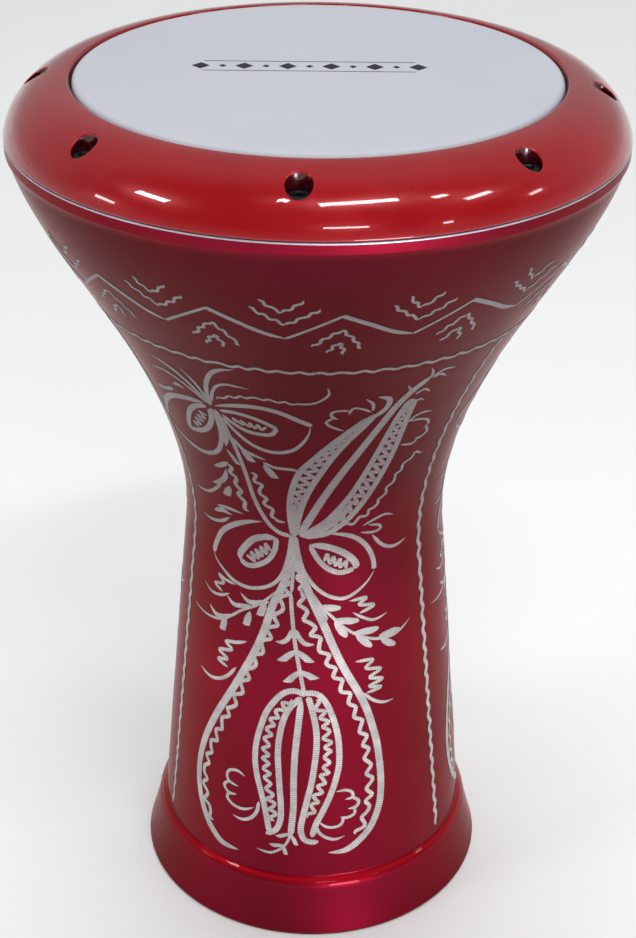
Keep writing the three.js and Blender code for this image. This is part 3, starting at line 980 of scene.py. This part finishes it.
def engrave_flower(g):
    """The flower at the upper left of a panel, with its stem down to the knot."""
    g.cut("-34,305.4 -40,304.4 -46,302 -51,298.4 -56,292.5 -60,285 -62,280", 3.5, 8, 4)
    g.cut("-32,303 -31.4,296 -31.6,289 -33,281 -36,274 -40.5,270 -46,268.6 -52,270 -57.5,273.4 "
          "-62,279", 2.6, 2, 24)
    upper = "-33.6,303.6 -38,301 -42,296 -44.8,290 -47.4,281.8"
    lower = "-32.8,302 -33.4,296 -35.4,290.4 -38.4,286 -42.5,283 -47.4,281.8"
    g.cuts(3, 2, 2, upper, lower)
    g.zigzag("-37,299.5 -44,287", "-34.8,296 -41,285.5", 1.7, 4.4, 0.1)
    g.cut("-30.4,305.4 -25,308.4 -20,310.2 -15,310.6 -10,308.8 -5,304.6 -0.8,301", 3, 16, 2)
    g.cut("-29,299 -26,292 -22,285.8 -17,282.3 -12,281.8 -7,284.4 -3.6,290 -1.8,296 -1.4,300.5",
          2.3, 3, 26)
    upper = "-29,303.2 -24,304.2 -19,303.2 -14.6,300.6 -11.4,297.6"
    lower = "-28.6,301 -26,297 -22,293.6 -18,292.6 -13.6,293.4 -11.4,297.6"
    g.cuts(2.5, 3, 1, upper, lower)
    g.zigzag("-26.5,300.8 -14.5,298.6", "-24,297 -15.5,295.2", 1.5, 4, 0.1)
    g.cut("-29.4,300 -28.8,290 -27.6,280 -26.6,270 -25.6,260 -24.4,250 -21.8,241 -18.5,234.6 "
          "-14.4,230.8 -9,229.3", 2.4, 2, 3)
    g.cut("-30.5,303 -30.3,295 -30.2,287 -31.5,279", 3.8, 3, 9)
    for width, line in (
        (2.6, "-31.6,305 -31,313 -29.4,321 -26.6,328.4 -23.5,332.4 -19.6,334.4"),
        (1.7, "-30.6,308 -28.8,315 -26.4,320.4 -23,323 -17,322.6"),
        (1.9, "-32,306 -32.8,314 -34.4,320.4 -36.6,325.8"),
        (2.3, "-32,305.6 -35,313.6 -38.4,320.4 -42.4,325 -47.6,326.8"),
        (1.8, "-32.4,306 -36,311.6 -40.4,316.6 -45,318.8 -51,317"),
    ):
        g.cut(line, width, 3, 12)
    g.cuts(2.6, 3, 4, "-39.5,311 -41.8,312 -44,310.6", "-45.6,307 -50,303.8 -55.6,302")
    g.wriggle("-28.5,311 -24.5,314.2 -20,316 -15,317 -10,316.4 -5,315.6", 1.4, 0.6, 6.6, 5, 1)
    g.cut("-5.4,315.6 -1.2,316 1.6,318.4 3.4,322.4 3,327", 1.4, 1, 7)
    g.cut("-28,287 -25,280.4 -21.5,277.8 -17,275.6", 2.2, 4, 7)
    g.leaves(4, 0, "-25,280.5 -22.2,272.6")
    g.cut("-18.2,274 -14,271.6 -8.5,271.4 -4.2,270.6", 1.9, 3, 6)
    g.leaves(4, 0, "-17.8,272.6 -14.4,264.4")
    g.wriggle("-23.4,265.6 -21,258 -20,250 -17.4,243.4 -15.6,239", 1.9, 1.5, 6.8, 2, 2)
    g.cut("-16.6,239 -14.5,237.6 -11.8,237.4", 1.7, 2, 3)
    g.wriggle("-33.4,267 -31.6,259 -30.6,251 -29.6,244 -27.4,240", 2.3, 1.2, 8, 3, 3)
    g.leaves(2.4, 0, "-31.6,277 -28.2,268.4")
    g.cut("-33,268 -36.6,264.6 -40.8,261.8", 3, 4, 6)
    g.cut("-34.8,262.6 -36.4,257 -40.2,252.4 -44.6,249.8", 2.9, 6, 7)
    g.cut("-39.2,252 -44,246 -50,241.6 -58.5,240.4", 1.9, 4, 16)
    g.leaves(4.4, 0, "-35.2,252 -37.8,245")


PANELS = 3
PANEL_LEFT = -66.5  # the border line at the left of the front panel
PANEL_TURN = 360 / PANELS
BORDER_LEANS = (5, -5, 0)  # how many degrees each border leans from its foot to its top
BORDER_LINE_Z = 336.8
BAND_TEETH = 14
BAND_PHASE = 5  # the angle of a tooth's peak
BAND_LOW, BAND_HIGH = 358.8, 373
MOTIFS = (
    engrave_bow, engrave_teardrop, engrave_stem, engrave_inner_tulip, engrave_scallops,
    engrave_side_sprigs, engrave_upper_tulip, engrave_flower,
)


def place_engraving(name, graver):
    mesh = graver.build.mesh(name, [ENGRAVED], weld=False)
    place(name, mesh, "drum_body", "bare_aluminium")


def add_panels():
    for k in range(PANELS):
        graver = Graver(k * PANEL_TURN)
        for motif in MOTIFS:
            motif(graver)
        place_engraving(f"engraved_panel_{k + 1}", graver)


def add_borders():
    """The lines between the panels and the one above them."""
    graver = Graver()
    for k, lean in enumerate(BORDER_LEANS):
        a = PANEL_LEFT + k * PANEL_TURN
        line = [(a + lean * (z - 150) / 200, z) for z in (36, 90, 150, 210, 250)]
        line += [(a + lean / 2, 290), (a + lean / 2, 335)]
        graver.wriggle(line, 2.5, 0.7, 8.8, 3, 3)
    circle = [(a, BORDER_LINE_Z) for a in range(0, 361, 5)]
    graver.wriggle(circle, 1.9, 0.6, 9.2)
    place_engraving("engraved_borders", graver)


def add_band():
    """The zigzag band round the bowl, with pairs of wavy chevrons above and below it.
    The graver digs in on the way down and is light on the way up."""
    graver = Graver()
    hand = np.random.default_rng(7)
    tooth = 360 / BAND_TEETH
    fall = 0.58 * tooth
    low, high = BAND_LOW, BAND_HIGH

    def chevron(a, z, up, near, left, right, width):
        """Two wavy legs from an apex. Each leg is (degrees across, millimetres off the band)."""
        for side, (across, away) in ((-1, left), (1, right)):
            tip = (a, z + up * near)
            end = (a + side * (across + hand.normal(0, 0.3)), z + up * (away + hand.normal(0, 0.5)))
            middle = ((tip[0] + end[0]) / 2 + side * 0.3, (tip[1] + end[1]) / 2)
            graver.wriggle([tip, middle, end], width, 0.6, 5.6, 1, 2)

    lift = np.append(hand.normal(0, 0.4, BAND_TEETH), 0)
    lift[0] = 0
    for k in range(BAND_TEETH):
        a, z = BAND_PHASE + k * tooth, high + lift[k]
        down = [(a - 0.2, z + 0.2), (a + 0.35 * fall, z - 5.6), (a + 0.7 * fall, low + 2.8)]
        up = [(a + fall - 0.3, low), (a + (fall + tooth) / 2, (low + high) / 2)]
        graver.cut([*down, (a + fall, low)], 2.5, 0, 9)
        graver.cut([*up, (a + tooth, high + lift[k + 1])], 1.6, 1, 1)
        chevron(a, z, -1, 8.3, (5.8, 18.5), (4.8, 21), 1.6)
        chevron(a - 0.3, z, -1, 16.3, (2.9, 23.5), (1.7, 24), 1.6)
        chevron(a + fall, low, 1, 8.6, (6.4, 18.2), (6.5, 18), 1.5)
        chevron(a + fall - 0.4, low, 1, 15.8, (3.5, 23.2), (3.8, 23), 1.5)
    place_engraving("engraved_band", graver)


# ---- Print on the head ----
def add_print():
    """A plain row of lozenges and dots in ink between two lines."""
    build = Build()
    middle_x, middle_y, count, pitch = -4.0, 6.0, 11, 9.8
    z = HEAD_Z - 0.01

    def patch(a, b, c, d):
        build.grid([[(*a, z), (*b, z)], [(*d, z), (*c, z)]])

    for k in range(count):
        x = middle_x + (k - (count - 1) / 2) * pitch
        long, tall = (4.2, 4.6) if k % 2 == 0 else (1.9, 2.1)
        bottom, top = (x, middle_y - tall), (x, middle_y + tall)
        patch((x - long, middle_y), bottom, (x + long, middle_y), top)
    reach = count * pitch / 2 - 6
    left, right = middle_x - reach, middle_x + reach
    for y in (middle_y - 7, middle_y + 7):
        patch((left, y - 0.4), (right, y - 0.4), (right, y + 0.4), (left, y + 0.4))
    place("head_print", build.mesh("head_print", [INK]), "drum_body", "film")


# ---- Stage, light and camera ----
FLOOR_R = 15000
UNDER_DRUM_R = 78  # the floor is open here, out of sight, so that the inside can be seen from below


def add_floor():
    build = Build()
    build.turn([(FLOOR_R, 0), (UNDER_DRUM_R, 0)])
    look = Look("floor", Roughness=0.9)
    look.into("Base Color", look.mix(look.noise(3, 3), (0.92, 0.92, 0.92), (0.95, 0.95, 0.95)))
    one_sided(look)
    add_object("floor", build.mesh("floor", [look.material], weld=False))


def one_sided(look):
    """Lets the floor be seen only from above, so that the drum's underside can be looked at."""
    through = look.node("ShaderNodeBsdfTransparent")
    side = look.node("ShaderNodeNewGeometry")
    both = look.node("ShaderNodeMixShader")
    look.link(side.outputs["Backfacing"], both.inputs[0])
    look.link(look.shader.outputs[0], both.inputs[1])
    look.link(through.outputs[0], both.inputs[2])
    look.link(both.outputs[0], look.tree.nodes["Material Output"].inputs["Surface"])


def add_light(name, spot, target, size, power):
    light = bpy.data.lights.new(name, "AREA")
    light.shape = "RECTANGLE"
    light.size, light.size_y = size
    light.energy = power
    lamp = add_object(name, light)
    lamp.location = spot
    lamp.rotation_euler = (Vector(target) - Vector(spot)).to_track_quat("-Z", "Y").to_euler()


# Windows round the room that glint in the ring's lacquer: degrees from the front, degrees up,
# width and height in metres, and brightness. They stand two metres from the ring.
WINDOWS = (
    (-77, 14, 0.30, 0.10, 14),
    (-66, 36, 0.42, 0.16, 26),
    (-19, 63, 0.10, 0.16, 22),
    (22, 61, 0.75, 0.16, 26),
    (10, 25, 0.50, 0.08, 20),
    (60, 53, 0.16, 0.12, 22),
    (69, 42, 0.34, 0.12, 20),
    (45, 18, 0.12, 0.10, 14),
    (84, 23, 0.20, 0.10, 12),
)
WINDOW_AWAY = 2.0


def add_lights():
    ring = Vector((0, 0, RING_BASE * MM))
    for k, (a, up, wide, tall, bright) in enumerate(WINDOWS):
        a, up = math.radians(a), math.radians(up)
        out = Vector((math.sin(a) * math.cos(up), -math.cos(a) * math.cos(up), math.sin(up)))
        power = bright * math.pi * wide * tall
        add_light(f"window_{k + 1}", ring + out * WINDOW_AWAY, ring, (wide, tall), power)
    add_light("low", (0.55, -1.4, 0.22), (0, 0, 0.12), (0.5, 0.35), 8)  # for the neck and foot
    sun = bpy.data.lights.new("overhead", "SUN")
    sun.energy, sun.angle = 1.7, math.radians(50)
    overhead = add_object("overhead", sun)
    overhead.rotation_euler = (math.radians(-14), 0, 0)
    overhead.visible_glossy = False  # it lights without a glint of its own


def add_world():
    """Dim in front of the drum, brighter behind it, and brightest at the horizon, as a studio's
    cove is. The camera sees a plain pale backdrop."""
    world = bpy.data.worlds.new("studio")
    bpy.context.scene.world = world
    world.use_nodes = True
    nodes = Nodes(world.node_tree)
    background = nodes.tree.nodes["Background"]
    background.inputs["Color"].default_value = (0.95, 0.97, 1.0, 1)
    direction = nodes.node("ShaderNodeTexCoord").outputs["Generated"]
    rear = nodes.remap(nodes.axis(direction, "Y"), -0.1, 0.3, 0.07, 0.34)
    horizon = nodes.remap(nodes.axis(direction, "Z"), 0, 0.4, 0.5, 0)
    backdrop = nodes.node("ShaderNodeMix")
    backdrop.inputs["B"].default_value = 0.9
    seen = nodes.node("ShaderNodeLightPath").outputs["Is Camera Ray"]
    nodes.link(seen, backdrop.inputs["Factor"])
    nodes.link(nodes.math("MAXIMUM", horizon, rear), backdrop.inputs["A"])
    nodes.link(backdrop.outputs["Result"], background.inputs["Strength"])


CAMERA_BACK = 0.7888
CAMERA_UP = 0.6801
CAMERA_DOWN = math.radians(29.75)
CAMERA_YAW = math.radians(0.12)
CAMERA_ROLL = math.radians(0.6)
CAMERA_LENS, CAMERA_FRAME = 69.18, 36  # mm


def add_camera():
    data = bpy.data.cameras.new("camera")
    data.lens = CAMERA_LENS
    data.sensor_width = CAMERA_FRAME
    data.clip_start = 0.01
    camera = add_object("camera", data)
    camera.matrix_world = (
        Matrix.Translation((0, -CAMERA_BACK, CAMERA_UP))
        @ Matrix.Rotation(-CAMERA_YAW, 4, "Z")
        @ Matrix.Rotation(math.pi / 2 - CAMERA_DOWN, 4, "X")
        @ Matrix.Rotation(CAMERA_ROLL, 4, "Z")
    )
    bpy.context.scene.camera = camera


add_camera()
add_floor()
add_lights()
add_world()
add_shell()
add_foot()
add_head()
add_hoop()
add_tuning_ring()
add_fasteners()
add_panels()
add_borders()
add_band()
add_print()
bpy.context.scene.view_settings.view_transform = "Standard"
